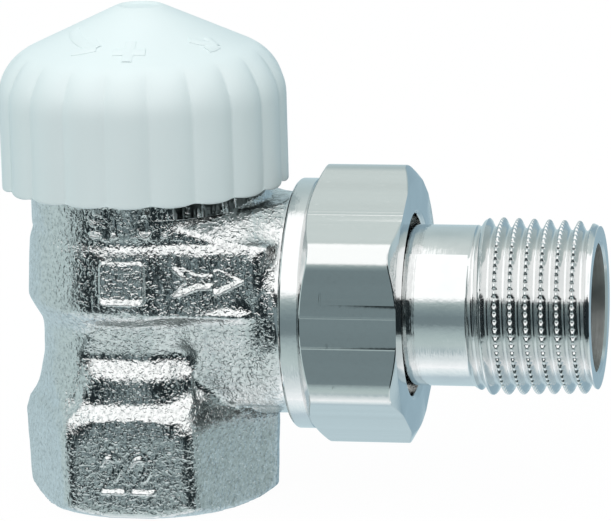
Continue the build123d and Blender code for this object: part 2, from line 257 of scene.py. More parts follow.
# Cast body: hexagon, pads and waist, where a pair is the start and the end of a soft change
hex_flats = 27.0
hex_inner_r = 12.2
hex_top = 12.4
hex_edge_round = 2.5
hex_draft = 0.4
hex_draft_height = 10.0
hex_fade_z = (12.5, 11.9)
front_draft = 0.35
front_facing = (0.80, 0.92)
hex_arch = 3.0
hex_arch_half = 6.7
hex_arch_height = 4.0
pad_shift = 0.7
pad_inner = 11.4
pad_half = (8.6, 7.2)
pad_foot = (12.4, 13.2)
pad_top = (20.5, 19.6)
pad_crown = 30.0
pad_crown_z = (11.6, 14.4)
pad_end_x = (5.2, 7.4)
pad_end_z = (14.6, 16.4)
waist = ((12.5, 14.25), (13.3, 13.1), (16.8, 13.05), (19.1, 11.6), (23.6, 12.9))
waist_low = 10.0
waist_inner = 9.0
waist_half = 7.4
waist_rise = 2.5
waist_rise_across = (4.6, 7.4)
waist_rise_z = (19.4, 21.0)
flare_radii = ((14.2, 13.5), (18.0, 12.7))
flare_across = (4.4, 7.0)
flare_z = (13.4, 15.2)
flare_low = 11.6
flare_half = 6.4
flare_inner = 12.4

# Cast body: bulge, panel, outlet boss, collar and web
bulge_r = 14.25
bulge_skin_r = 13.6
bulge_ledge = ((31.7, 0.0), (33.5, 0.95))
panel_lean = 0.06
panel_lean_z = (24.6, 32.2)
panel_middle = 28.3
panel_start = 3.8
panel_turn = 5.5
panel_length = 14.3
panel_end = 17.2
panel_skin = 0.6
panel_foot = 25.2
panel_foot_z = (24.2, 25.4)
panel_top = 34.0
boss_r = 13.4
boss_rise = 3.5
boss_rise_x = (13.0, 16.0)
boss_tuck = 0.27
boss_tuck_limit = 1.4
tuck_start_x = (3.0, 7.0)
tuck_end_x = (19.5, 12.5)
tuck_z = (10.5, 19.0)
tuck_depth = (7.5, 9.5)
collar_r = 13.7
web_steps = 24
web_rows = 12
web_x = (0.3, 17.6)
web_inset = 0.7
web_end_x = 14.0
web_end_inset = 1.2
web_foot = 33.1
web_slope = 24.0
web_shoulder = 0.15
web_shoulder_width = 3.0
web_shoulder_x = (6.0, 11.0)
web_fillet = 4.5
web_fillet_x = (2.0, 7.0)
web_inner_r = 12.4
web_below_boss = 0.3
web_over_boss = 0.05
web_sink = 1.5
web_floor = 28.0
web_least = 0.8

# Raised marks of the casting, and the zones that are divided for them
mark_cuts = 2
mark_rounds = 6
mark_edge = 0.06
mark_lean = 5.0
mark_wall = 0.12
lip_slope = 36.0
arrow_raise = 0.42
badge_raise = 0.42
digit_raise = 0.4
digit_bold = 0.014
digit_spacing = 1.2
arrow_height = 28.85
arrow_half = ((6.0, 1.65), (6.6, 1.7), (8.8, 0.8), (10.7, 0.75), (10.8, 1.35), (11.4, 1.4), (14.2, 0.0))
arrow_notch = 7.6
arrow_top = 30.5
badge_low = (-2.6, 26.3)
badge_high = (2.6, 31.1)
badge_corner = 0.35
sizes_text = "10 15"
sizes_area = (9.3, 3.3)
sizes_middle = (0.7, 35.75)
number_text = "22"
number_area = (6.4, 5.1)
number_middle = (-0.2, 5.7)
panel_zone_y = -11.8
panel_zone_x = (-3.6, 14.9)
panel_zone_z = (25.0, 32.0)
collar_zone_r = 12.9
collar_zone_around = (-5.1, 6.1)
collar_zone_z = (33.9, 38.1)
flat_zone_y = -12.8
flat_zone_x = (-4.9, 4.3)
flat_zone_z = (1.8, 9.4)


def smooth(low, high, value):
    """Smooth step from 0 at low to 1 at high, also for arrays."""
    share = np.clip((value - low) / (high - low), 0.0, 1.0)
    return share * share * (3 - 2 * share)


def between(low, high, value):
    """Whether values lie between two limits."""
    return (value > low) & (value < high)


def box_mm(node):
    """Lowest and highest corner of a node at rest, in millimetres."""
    low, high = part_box(node)
    return np.array(low) / MM, np.array(high) / MM


cap_low, cap_high = box_mm("protective_cap")
nut_low, nut_high = box_mm("union_nut")
tail_low, tail_high = box_mm("tail_piece")
outlet_height = (tail_low[2] + tail_high[2]) / 2
cap_travel = -frame["joints"][0]["range_m"][0] / MM


# Mesh helpers

def linked(name, data):
    """New object in the scene."""
    item = bpy.data.objects.new(name, data)
    bpy.context.collection.objects.link(item)
    return item


def piece(name, points, faces, materials, sharp_angle=30.0):
    """Object from points in millimetres, cleaned, with its normals outward and smooth shading."""
    mesh = bpy.data.meshes.new(name)
    mesh.from_pydata((np.asarray(points) * MM).tolist(), [], faces)
    work = bmesh.new()
    work.from_mesh(mesh)
    bmesh.ops.remove_doubles(work, verts=work.verts, dist=1e-3 * MM)
    bmesh.ops.dissolve_degenerate(work, dist=1e-3 * MM, edges=work.edges)
    bmesh.ops.recalc_face_normals(work, faces=work.faces)
    work.to_mesh(mesh)
    work.free()
    mesh.shade_smooth()
    mesh.set_sharp_from_angle(angle=radians(sharp_angle))
    for material in materials:
        mesh.materials.append(material)
    return linked(name, mesh)


def band_faces(rows, columns):
    """Quads of a grid whose columns close into rings and whose rows close into a loop."""
    faces = []
    for row in range(rows):
        this = row * columns
        following = ((row + 1) % rows) * columns
        for column in range(columns):
            beside = (column + 1) % columns
            faces.append((this + column, this + beside, following + beside, following + column))
    return faces


def soften(rows, width):
    """Replaces each marked row by two, a width before and after it, to break its edge."""
    points = [row for row, _ in rows]
    count = len(rows)
    soft = []
    for place, (row, edge) in enumerate(rows):
        if not edge:
            soft.append(row)
            continue
        for other in (points[place - 1], points[(place + 1) % count]):
            reach = other - row
            length = np.linalg.norm(reach, axis=1, keepdims=True)
            step = np.minimum(width, 0.4 * length)
            soft.append(row + reach * step / np.maximum(length, 1e-9))
    return soft


def around_outlet(x, radius, angle):
    """Points about the outlet axis; angle 0 is the front, and it grows from top over front to bottom."""
    x = np.broadcast_to(x, np.shape(angle))
    return np.stack([x, -radius * np.cos(angle), outlet_height - radius * np.sin(angle)], axis=1)


# Material helpers

def fill(tree, node, **inputs):
    """Links or sets the inputs of a node and gives it back; an underscore stands for a space."""
    for name, value in inputs.items():
        socket = node.inputs[name.replace("_", " ")]
        if isinstance(value, bpy.types.NodeSocket):
            tree.links.new(value, socket)
        else:
            socket.default_value = value
    return node


def added(tree, kind, **inputs):
    """New shader node of a kind, with its inputs filled."""
    return fill(tree, tree.nodes.new("ShaderNode" + kind), **inputs)


def own_space(tree, stretch=(1.0, 1.0, 1.0)):
    """Coordinates on the piece itself, stretched along its axes."""
    place = added(tree, "TexCoord").outputs["Object"]
    return added(tree, "Mapping", Vector=place, Scale=stretch).outputs["Vector"]


def noise_field(tree, space, size, detail=2.0, roughness=0.5):
    """Noise with lumps of a size in millimetres."""
    scale = 1 / (size * MM)
    field = added(tree, "TexNoise", Vector=space, Scale=scale, Detail=detail, Roughness=roughness)
    return field.outputs["Fac"]


def ramp(tree, value, stops):
    """Colour ramp over a value, from (place, colour) stops."""
    node = added(tree, "ValToRGB", Fac=value)
    elements = node.color_ramp.elements
    while len(elements) < len(stops):
        elements.new(0.5)
    for element, (place, colour) in zip(elements, stops):
        element.position = place
        element.color = (*colour, 1.0)
    return node.outputs["Color"]


def spread(tree, value, low, high):
    """Noise mapped from its usual range to another range."""
    node = added(tree, "MapRange", Value=value, From_Min=0.3, From_Max=0.7, To_Min=low, To_Max=high)
    return node.outputs["Result"]


def bump(tree, height, depth, under=None):
    """Bump of a depth in millimetres, on top of another bump."""
    node = added(tree, "Bump", Height=height, Distance=depth * MM)
    if under is not None:
        fill(tree, node, Normal=under)
    return node.outputs["Normal"]


def grey(level, tint=(1.0, 1.0, 1.0)):
    """Colour from a level and a tint."""
    return tuple(level * share for share in tint)


def surface(material, colour, roughness, normal, metallic=1.0):
    """Gives a material its colour, roughness and normal."""
    tree = material.node_tree
    shader = tree.nodes["Principled BSDF"]
    fill(tree, shader, Base_Color=colour, Roughness=roughness, Normal=normal, Metallic=metallic)
    return material


def blank_material(name):
    """Material with a principled shader, and its node tree."""
    material = bpy.data.materials.new(name)
    material.use_nodes = True
    return material, material.node_tree


# Materials, with sizes and bump depths in millimetres

def cast_nickel():
    """Nickel-plated rough cast brass: a fine grain with sparkling peaks, its colour darker in the grain's pits as
    painted shade.
    """
    material, tree = blank_material("cast_nickel")
    space = own_space(tree)
    grains = noise_field(tree, space, size=0.5, detail=3.0, roughness=0.6)
    peaks = noise_field(tree, space, size=0.42, detail=1.0)
    lumps = noise_field(tree, space, size=1.5)
    wear = noise_field(tree, space, size=5.0, detail=3.0)
    sparks = ramp(tree, peaks, [(0.50, grey(0.0)), (0.70, grey(1.0))])
    # Colour follows the grain: the cast finish's own tone, made darker in the pits as painted shade for their
    # self-shadowing
    plating_and_pit_shade = ramp(tree, grains, [
        (0.32, grey(0.50, (1.0, 1.02, 1.02))),
        (0.47, grey(0.68, (1.0, 1.01, 1.0))),
        (0.68, grey(0.77, (1.0, 1.005, 1.0))),
    ])
    normal = bump(tree, lumps, depth=0.07)
    normal = bump(tree, grains, depth=0.06, under=normal)
    normal = bump(tree, sparks, depth=0.05, under=normal)
    return surface(material, plating_and_pit_shade, spread(tree, wear, low=0.10, high=0.17), normal)


def turned_nickel():
    """Bright turned nickel with fine rings about the outlet axis and a few nicks."""
    material, tree = blank_material("turned_nickel")
    rings = noise_field(tree, own_space(tree, (1.0, 0.012, 0.012)), size=0.16)
    nicks = noise_field(tree, own_space(tree), size=0.55)
    haze = noise_field(tree, own_space(tree), size=4.0)
    colour = ramp(tree, haze, [
        (0.3, grey(0.70, (1.0, 1.01, 1.01))),
        (0.7, grey(0.77, (1.0, 1.005, 1.0))),
    ])
    normal = bump(tree, nicks, depth=0.012)
    normal = bump(tree, rings, depth=0.006, under=normal)
    return surface(material, colour, spread(tree, haze, low=0.08, high=0.13), normal)


def bored_nickel():
    """Dull bored metal with tool marks."""
    material, tree = blank_material("bored_nickel")
    marks = noise_field(tree, own_space(tree, (1.0, 0.02, 0.02)), size=0.3)
    stains = noise_field(tree, own_space(tree), size=2.5, detail=3.0)
    colour = ramp(tree, stains, [
        (0.35, grey(0.42, (1.0, 1.02, 0.98))),
        (0.65, grey(0.52, (1.0, 1.02, 0.99))),
    ])
    gloss = spread(tree, stains, low=0.4, high=0.5)
    return surface(material, colour, gloss, bump(tree, marks, depth=0.02), metallic=0.85)


def drawn_nickel():
    """Nickel on drawn bar: faint lines along the outlet axis, light scratches and nicks."""
    material, tree = blank_material("drawn_nickel")
    lines = noise_field(tree, own_space(tree, (0.006, 1.0, 1.0)), size=0.3, detail=3.0)
    broad = noise_field(tree, own_space(tree, (0.004, 1.0, 1.0)), size=2.6, detail=1.0)
    nicks = noise_field(tree, own_space(tree), size=0.6)
    scratches = noise_field(tree, own_space(tree, (0.5, 1.0, 0.12)), size=0.35, detail=1.0)
    colour = ramp(tree, broad, [
        (0.3, grey(0.69, (1.0, 1.01, 1.0))),
        (0.7, grey(0.74, (1.0, 1.01, 1.0))),
    ])
    scratched = ramp(tree, scratches, [(0.70, grey(0.0)), (0.76, grey(1.0))])
    normal = bump(tree, nicks, depth=0.008)
    normal = bump(tree, scratched, depth=0.005, under=normal)
    normal = bump(tree, lines, depth=0.003, under=normal)
    return surface(material, colour, spread(tree, nicks, low=0.10, high=0.17), normal)


def white_plastic():
    """Satin white moulded plastic with a fine skin."""
    material, tree = blank_material("white_plastic")
    skin = noise_field(tree, own_space(tree), size=0.3)
    cloud = noise_field(tree, own_space(tree), size=9.0)
    colour = ramp(tree, cloud, [(0.35, (0.735, 0.81, 0.815)), (0.65, (0.75, 0.825, 0.83))])
    gloss = spread(tree, cloud, low=0.36, high=0.44)
    return surface(material, colour, gloss, bump(tree, skin, depth=0.004), metallic=0.0)


def plain_metal(name, light, dark, roughness):
    """Turned metal with fine grain and slight stains."""
    material, tree = blank_material(name)
    stains = noise_field(tree, own_space(tree), size=3.0, detail=3.0)
    grain = noise_field(tree, own_space(tree), size=0.25)
    colour = ramp(tree, stains, [(0.35, dark), (0.6, light)])
    gloss = spread(tree, stains, low=roughness, high=roughness + 0.12)
    return surface(material, colour, gloss, bump(tree, grain, depth=0.008))


def black_rubber():
    """Moulded rubber with a dull bloom."""
    material, tree = blank_material("black_rubber")
    bloom = noise_field(tree, own_space(tree), size=1.5, detail=3.0)
    colour = ramp(tree, bloom, [(0.35, grey(0.012)), (0.65, grey(0.03))])
    gloss = spread(tree, bloom, low=0.5, high=0.68)
    return surface(material, colour, gloss, bump(tree, bloom, depth=0.01), metallic=0.0)


# Cap

def cap_profile():
    """Outside of the cap from rim to top as (radius, height, normal radius part, normal height part)."""
    skirt, top = cap_low[2], cap_high[2]
    slope = radians(cap_cone_angle)
    points = []
    for turn in np.linspace(-pi / 2, 0, cap_rim_steps + 1):
        radius = cap_r - cap_rim_round * (1 - cos(turn))
        points.append((radius, skirt + cap_rim_round * (1 + sin(turn)), cos(turn), sin(turn)))
    corner = top - (cap_r - cap_top_r) * tan(slope)
    side_top = corner - cap_shoulder_round * tan((pi / 2 - slope) / 2)
    for height in np.linspace(skirt + 2 * cap_rim_round, side_top, cap_side_rows):
        points.append((cap_r, height, 1.0, 0.0))
    for turn in np.linspace(0, pi / 2 - slope, cap_shoulder_steps + 1)[1:]:
        radius = cap_r - cap_shoulder_round * (1 - cos(turn))
        points.append((radius, side_top + cap_shoulder_round * sin(turn), cos(turn), sin(turn)))
    last_radius, last_height = points[-1][:2]
    for radius in np.linspace(last_radius, cap_top_r + cap_button_foot, cap_cone_rows)[1:]:
        points.append((radius, last_height + (last_radius - radius) * tan(slope), sin(slope), cos(slope)))
    return points + [(cap_top_r + out, top - sunk, 0.0, 1.0) for out, sunk in cap_button]


def lobed_cap(material):
    """Screw cap whose lobes run up the side, over the shoulder and fade on the cone."""
    columns = cap_lobes * cap_lobe_steps
    angle = np.arange(columns) * 2 * pi / columns + radians(cap_groove_angle)
    across = 2 * ((np.arange(columns) % cap_lobe_steps) / cap_lobe_steps) - 1
    hollow = np.abs(across) ** cap_groove_power
    inside_r = cap_r - cap_groove - cap_wall
    skirt = cap_low[2]
    ceiling = cap_high[2] - cap_roof
    slope = tan(radians(cap_cone_angle))

    def ring(radius, height):
        height = np.broadcast_to(height, angle.shape)
        return np.stack([radius * np.cos(angle), radius * np.sin(angle), height], axis=1)

    rows = []
    for radius, height, out, rise in cap_profile():
        depth = cap_groove * hollow * smooth(cap_fade_inner_r, cap_fade_outer_r, radius)
        rows.append(ring(radius - depth * out, height - depth * rise))
    rows += [
        ring(axis_r, ceiling),
        ring(cap_top_r, ceiling),
        ring(inside_r - cap_corner, ceiling - (inside_r - cap_corner - cap_top_r) * slope),
        ring(inside_r, ceiling - (inside_r - cap_top_r) * slope - cap_corner_drop),
        ring(inside_r, skirt + cap_lead),
        ring(inside_r + cap_lead, skirt),
    ]
    return piece("cap_shell", np.concatenate(rows), band_faces(len(rows), columns), [material], 40.0)


def on_cone(radius, azimuth, lift):
    """Point on the cap's cone at a radius and an azimuth in radians, lifted off it."""
    slope = radians(cap_cone_angle)
    height = cap_high[2] - (radius - cap_top_r) * tan(slope) + lift * cos(slope)
    reach = radius + lift * sin(slope)
    return (reach * cos(azimuth), reach * sin(azimuth), height)


def raised_strip(path):
    """Points and faces of a raised strip along (radius, azimuth) places on the cone."""
    points, faces = [], []
    flat = [radius * np.array((cos(radians(turn)), sin(radians(turn)))) for radius, turn in path]
    for place, middle in enumerate(flat):
        ahead = flat[min(place + 1, len(flat) - 1)] - flat[max(place - 1, 0)]
        side = np.array((-ahead[1], ahead[0])) / np.linalg.norm(ahead)
        for offset, height in cap_mark_section:
            spot = middle + side * offset * cap_mark_width
            points.append(on_cone(np.linalg.norm(spot), atan2(spot[1], spot[0]), height * cap_mark_lift))
    ring = len(cap_mark_section)
    for place in range(len(flat) - 1):
        for corner in range(ring):
            beside = (corner + 1) % ring
            base = place * ring
            faces.append((base + corner, base + beside, base + ring + beside, base + ring + corner))
    faces.append(tuple(range(ring)))
    faces.append(tuple((len(flat) - 1) * ring + corner for corner in range(ring)))
    return points, faces


def cap_marks(material):
    """Raised plus sign and two curved arrows on the cone."""
    strips = list(cap_plus)
    for arc, head in ((long_arc, long_arc_head), (short_arc, short_arc_head)):
        strips += [np.linspace(*arc), *head]
    points, faces = [], []
    for path in strips:
        new_points, new_faces = raised_strip(path)
        faces += [tuple(corner + len(points) for corner in face) for face in new_faces]
        points += new_points
    return piece("cap_marks", points, faces, [material], 50.0)


# Union nut

def off_flat(angle):
    """Angle from the middle of the nearest of a hexagon's flats."""
    return (angle + pi / 6) % (pi / 3) - pi / 6


def hexagon_radius(angle, flats, edge_round):
    """Distance from the axis to a rounded hexagon outline, by angle from the middle of a flat."""
    flat_r = flats / 2
    sector = off_flat(angle)
    corner = pi / 6 - np.abs(sector)
    straight = flat_r / np.cos(sector)
    middle = (flat_r - edge_round) / cos(pi / 6)
    inside = np.maximum(edge_round ** 2 - (middle * np.sin(corner)) ** 2, 0.0)
    rounded = middle * np.cos(corner) + np.sqrt(inside)
    tangent = atan((flat_r - edge_round) * tan(pi / 6) / flat_r)
    return np.where(np.abs(sector) > tangent, rounded, straight)


def drawing_lines(angle):
    """Height of the fine ridges that drawing leaves along the flats of the bar, boldest on the first."""
    flat = np.floor((angle + pi / 6) / (pi / 3)) % 6
    across = -nut_flats / 2 * np.tan(off_flat(angle))
    height = np.zeros_like(angle)
    for number in range(6):
        for middle, tall in nut_lines:
            place = nut_line_spread * sin(nut_line_turn * number + middle) if number else middle
            ridge = tall * np.exp(-((across - place) / nut_line_half) ** 2)
            height += np.where(flat == number, nut_line_fade * ridge if number else ridge, 0.0)
    return height


def union_nut(drawn, turned):
    """Nut with a turned collar, a hexagon with turned chamfers at both ends, and an inner flange."""
    angle = np.arange(nut_columns) * 2 * pi / nut_columns
    from_flat = angle - radians(nut_turn)
    outline = hexagon_radius(from_flat, nut_flats, nut_edge_round) + drawing_lines(from_flat)
    slope = tan(radians(nut_chamfer_angle))
    start, end = nut_low[0], nut_high[0]
    shoulder = start + nut_collar
    seat = end - nut_flange
    back = shoulder + np.maximum(outline - nut_collar_r, 0.0) * slope
    front = end - np.maximum(outline - nut_face_r, 0.0) * slope
    face = np.minimum(outline, nut_face_r)

    def ring(x, radius):
        return around_outlet(x, radius, angle)

    rows = [
        (ring(start, nut_thread_r + nut_thread_lead), True),
        (ring(start, nut_collar_r - nut_collar_chamfer), True),
        (ring(start + nut_collar_chamfer, nut_collar_r), True),
        (ring(shoulder - nut_groove_x[0], nut_collar_r), False),
        (ring(shoulder - nut_groove_x[1], nut_collar_r - nut_groove), False),
        (ring(shoulder, nut_collar_r - nut_groove_step), False),
        (ring(back, outline), True),
        (ring(front, outline), True),
        (ring(end, face), True),
        (ring(end, nut_hole_r + nut_hole_chamfer), True),
        (ring(end - nut_hole_chamfer, nut_hole_r), True),
        (ring(seat, nut_hole_r), False),
        (ring(seat, nut_thread_r), False),
        (ring(start + nut_thread_lead, nut_thread_r), False),
    ]
    loops = soften(rows, nut_edge_break)
    faces = band_faces(len(loops), nut_columns)
    nut = piece("nut_shell", np.concatenate(loops), faces, [drawn, turned], 16.0)
    low, high = (shoulder + 0.05) * MM, (end - 0.01) * MM
    flat_share = 0.5
    for polygon in nut.data.polygons:
        on_bar = low < polygon.center.x < high and abs(polygon.normal.x) < flat_share
        polygon.material_index = 0 if on_bar else 1
    return nut


# Tail piece

def thread_section():
    """One pitch of the thread as (share of pitch from the crest, share of depth, share of bead)."""
    half = [
        (0.0, 0.0, 1.0),
        (0.05, 0.02, 1.0),
        (0.09, 0.08, 0.8),
        (0.13, 0.22, 0.25),
        (0.23, 0.53, 0.0),
        (0.34, 0.84, 0.0),
        (0.42, 0.97, 0.0),
    ]
    left = [(-place, depth, bead) for place, depth, bead in reversed(half[1:])]
    return [(-0.5, 1.0, 0.0)] + left + half


def thread_radius(x, depth, bead, angle):
    """Radius of the beaded, tapered thread between its run-in and its end chamfer."""
    end = tail_high[0]
    crest = thread_r - (x - thread_front_crest) * thread_taper
    notch = ((1 - np.cos(beads_per_turn * angle)) / 2) ** 3
    beaded = smooth(thread_front_crest - bead_lead[0], thread_front_crest - bead_lead[1], x)
    radius = crest - thread_depth * depth - bead_depth * bead * notch * beaded
    ramp_r = tail_r + (x - thread_start) * (thread_r - tail_r) / thread_ramp
    chamfer_r = tail_end_r + (end - x) * (thread_r - thread_end_step - tail_end_r) / thread_chamfer
    radius = np.minimum(radius, np.minimum(ramp_r, chamfer_r))
    run_in = smooth(thread_start, thread_start + thread_run_in, x)
    run_out = smooth(end, end - thread_run_out, x)
    radius = tail_r + (radius - tail_r) * run_in
    return tail_end_r + (radius - tail_end_r) * run_out


def tail_piece(turned, bored):
    """Tail with its nose, flange, shank and a right-hand thread swept along its helix."""
    columns = beads_per_turn * bead_steps
    angle = np.arange(columns) * 2 * pi / columns
    end = tail_high[0]
    section = thread_section()
    first = int((thread_start - thread_front_crest) / thread_pitch) - 2
    turns = int((end - thread_start) / thread_pitch) + 4
    points, faces = [], []
    for turn in range(first, first + turns):
        for place, depth, bead in section:
            x = thread_front_crest + thread_pitch * (turn + place + angle / (2 * pi))
            x = np.clip(x, thread_start, end)
            points.append(around_outlet(x, thread_radius(x, depth, bead, angle), angle))
    rows = len(points)
    for row in range(rows - 1):
        for column in range(columns):
            if column + 1 < columns:
                near, far = row * columns + column + 1, (row + 1) * columns + column + 1
            elif row + 1 + len(section) < rows:
                near, far = (row + len(section)) * columns, (row + 1 + len(section)) * columns
            else:
                continue
            faces.append((row * columns + column, near, far, (row + 1) * columns + column))
    nose_tip = tail_low[0]
    flange_face = nose_tip + tail_nose
    flange_back = flange_face + tail_flange
    ring = flange_face - tail_ring_back
    profile = [
        (end, tail_end_r),
        (end, tail_bore_r + tail_bore_lead),
        (end - tail_bore_lead, tail_bore_r),
        (nose_tip + tail_bore_lead, tail_bore_r),
        (nose_tip, tail_bore_r + tail_bore_lead),
        (nose_tip, tail_nose_r - tail_nose_chamfer),
        (nose_tip + tail_nose_chamfer, tail_nose_r),
        (ring - tail_ring_half, tail_nose_r),
        (ring - tail_ring_half, tail_nose_r - tail_ring_depth),
        (ring + tail_ring_half, tail_nose_r - tail_ring_depth),
        (ring + tail_ring_half, tail_nose_r),
        (flange_face, tail_nose_r),
        (flange_face, tail_flange_r),
        (flange_back, tail_flange_r),
        (flange_back, tail_r),
        (thread_start, tail_r),
    ]
    base = rows * columns
    points += [around_outlet(x, radius, angle) for x, radius in profile]
    for corner in band_faces(len(profile), columns)[:(len(profile) - 1) * columns]:
        faces.append(tuple(base + index for index in corner))
    tail = piece("tail_shell", np.concatenate(points), faces, [turned, bored], 35.0)
    for polygon in tail.data.polygons:
        offset = np.hypot(polygon.center.y, polygon.center.z - outlet_height * MM) / MM
        polygon.material_index = 1 if offset < tail_bore_r + tail_bore_margin else 0
    return tail


# Cast body

def digit_shape(text, area, middle, upside_down=False):
    """Flat digits as a search tree, stretched to an area about a middle."""
    curve = bpy.data.curves.new("digits", "FONT")
    curve.body = text
    curve.offset = digit_bold
    curve.space_character = digit_spacing
    item = linked("digits", curve)
    bpy.context.view_layer.update()
    mesh = bpy.data.meshes.new_from_object(item.evaluated_get(bpy.context.evaluated_depsgraph_get()))
    bpy.data.objects.remove(item)
    bpy.data.curves.remove(curve)
    flat = np.array([vertex.co[:2] for vertex in mesh.vertices])
    low, high = flat.min(axis=0), flat.max(axis=0)
    flat = ((flat - low) / (high - low) - 0.5) * area * (-1 if upside_down else 1) + middle
    faces = [tuple(polygon.vertices) for polygon in mesh.polygons]
    bpy.data.meshes.remove(mesh)
    return BVHTree.FromPolygons([(across, 0.0, up) for across, up in flat], faces)


def outline_shape(outline):
    """Flat area inside an outline of (across, up) places, as a search tree."""
    corners = [(across, 0.0, up) for across, up in outline]
    return BVHTree.FromPolygons(corners, [tuple(range(len(corners)))])


def arrow_shape():
    """Flow arrow with a flared tail."""
    upper = [(x, arrow_height + half) for x, half in arrow_half]
    lower = [(x, arrow_height - half) for x, half in reversed(arrow_half[:-1])]
    return outline_shape([*upper, *lower, (arrow_notch, arrow_height)])


def badge_shape():
    """Bare badge with cut corners."""
    (left, low), (right, high) = badge_low, badge_high
    cut = badge_corner
    return outline_shape([
        (left + cut, low), (right - cut, low), (right, low + cut), (right, high - cut),
        (right - cut, high), (left + cut, high), (left, high - cut), (left, low + cut),
    ])


def cover(shape, across, up):
    """1 on a mark and 0 off it, with a steep wall between."""
    gaps = [shape.find_nearest((right, 0.0, high))[3] for right, high in zip(across, up)]
    return np.maximum(0.0, 1 - np.array(gaps) / mark_wall)


def relief(shape, across, up, height):
    """Height of a mark: almost flush along its upper edges, with a sloped lip along its lower ones."""
    lip = height / tan(radians(lip_slope))
    below = np.array([shape.find_nearest((right, 0.0, high - lip))[3] for right, high in zip(across, up)])
    raised = mark_edge + height * np.minimum(1.0, below / lip)
    return raised * cover(shape, across, up)


def mark_zones(points):
    """Places on the front panel, on the collar and on the front of the hexagon that carry marks."""
    x, y, z = points.T
    around = collar_r * np.arctan2(x, -y)
    panel = (y < panel_zone_y) & between(*panel_zone_x, x) & between(*panel_zone_z, z)
    collar = (y < 0) & (np.hypot(x, y) > collar_zone_r)
    collar = collar & between(*collar_zone_around, around) & between(*collar_zone_z, z)
    flat = (y < flat_zone_y) & between(*flat_zone_x, x) & between(*flat_zone_z, z)
    return panel, collar, flat


def refined(mesh):
    """Divides the faces where the marks stand."""
    work = bmesh.new()
    work.from_mesh(mesh)
    middles = np.array([face.calc_center_median() for face in work.faces]) / MM
    chosen = np.any(mark_zones(middles), axis=0)
    edges = {edge for face, inside in zip(work.faces, chosen) if inside for edge in face.edges}
    bmesh.ops.subdivide_edges(work, edges=list(edges), cuts=mark_cuts, use_grid_fill=True)
    work.to_mesh(mesh)
    work.free()


def marked(points):
    """Points with the arrow, the bare badge and the digits raised on them."""
    points = points.copy()
    panel, collar, flat = mark_zones(points)
    x, y, z = points[panel].T
    arrow = arrow_shape()
    badge = badge_shape()
    lean = tan(radians(mark_lean))
    y = y - relief(arrow, x, z, arrow_raise) - lean * np.maximum(0.0, arrow_top - z) * cover(arrow, x, z)
    face = -bulge_r + panel_lean * (z - panel_middle) - lean * (badge_high[1] - z)
    y = y + (face - y) * cover(badge, x, z) - relief(badge, x, z, badge_raise)
    points[panel, 1] = y
    x, y, z = points[collar].T
    sizes = digit_shape(sizes_text, sizes_area, sizes_middle, upside_down=True)
    lift = relief(sizes, collar_r * np.arctan2(x, -y), z, digit_raise)
    grow = 1 + lift / np.hypot(x, y)
    points[collar, 0] = x * grow
    points[collar, 1] = y * grow
    x, y, z = points[flat].T
    number = digit_shape(number_text, number_area, number_middle)
    points[flat, 1] = y - relief(number, x, z, digit_raise)
    return points


def panel_depth(x):
    """Depth of the front: the round bulge, and beyond it the panel that recedes towards the nut."""
    start = sqrt(bulge_r ** 2 - panel_start ** 2)
    bulge = np.sqrt(np.maximum(bulge_r ** 2 - np.minimum(x, panel_start) ** 2, 0.0))
    return np.where(x < panel_start, bulge, start - (x - panel_start) * tan(radians(panel_turn)))


def web_heights(x, y, outer):
    """Top and underside of the web at a place."""
    to_boss = smooth(web_end_x, web_x[1], x)
    rise = (outer - y) * tan(radians(web_slope))
    rise += web_shoulder * min(outer - y, web_shoulder_width) * smooth(*web_shoulder_x, x)
    roof = min(web_foot + rise, outlet_height + boss_r - web_below_boss)
    boss = outlet_height + sqrt(max((boss_r + web_over_boss) ** 2 - y ** 2, 0.0))
    under = outlet_height + sqrt(max((boss_r - web_sink) ** 2 - y ** 2, 0.0))
    off_collar = max(np.hypot(x, y) - collar_r, 0.0)
    roof += max(web_fillet - off_collar, 0.0) ** 2 / (2 * web_fillet) * smooth(*web_fillet_x, x)
    top = roof + (boss - roof) * to_boss
    return top, min(max(under, web_floor), top - web_least)


def web_mesh(sign):
    """Web on one side that fills the valley between the collar and the outlet boss, in metres."""
    points, faces = [], []
    for x in np.linspace(*web_x, web_steps):
        outer = float(panel_depth(x)) - web_inset - web_end_inset * smooth(web_end_x, web_x[1], x)
        inner = sqrt(max(web_inner_r ** 2 - x ** 2, 0.0))
        for share in np.linspace(0, 1, web_rows):
            y = outer + (inner - outer) * share
            points += [(x, sign * y, z) for z in web_heights(x, y, outer)]
    for step in range(web_steps - 1):
        for place in range(web_rows - 1):
            a = 2 * (step * web_rows + place)
            b, c, d = a + 2, a + 2 * web_rows + 2, a + 2 * web_rows
            faces.append((a, b, c, d))
            faces.append((a + 1, d + 1, c + 1, b + 1))
    for step in range(web_steps - 1):
        for place in (0, web_rows - 1):
            a = 2 * (step * web_rows + place)
            d = a + 2 * web_rows
            faces.append((a, d, d + 1, a + 1))
    for step in (0, web_steps - 1):
        for place in range(web_rows - 1):
            a = 2 * (step * web_rows + place)
            faces.append((a, a + 1, a + 3, a + 2))
    mesh = bpy.data.meshes.new("web")
    mesh.from_pydata((np.array(points) * MM).tolist(), [], faces)
    work = bmesh.new()
    work.from_mesh(mesh)
    bmesh.ops.recalc_face_normals(work, faces=work.faces)
    work.to_mesh(mesh)
    work.free()
    return mesh


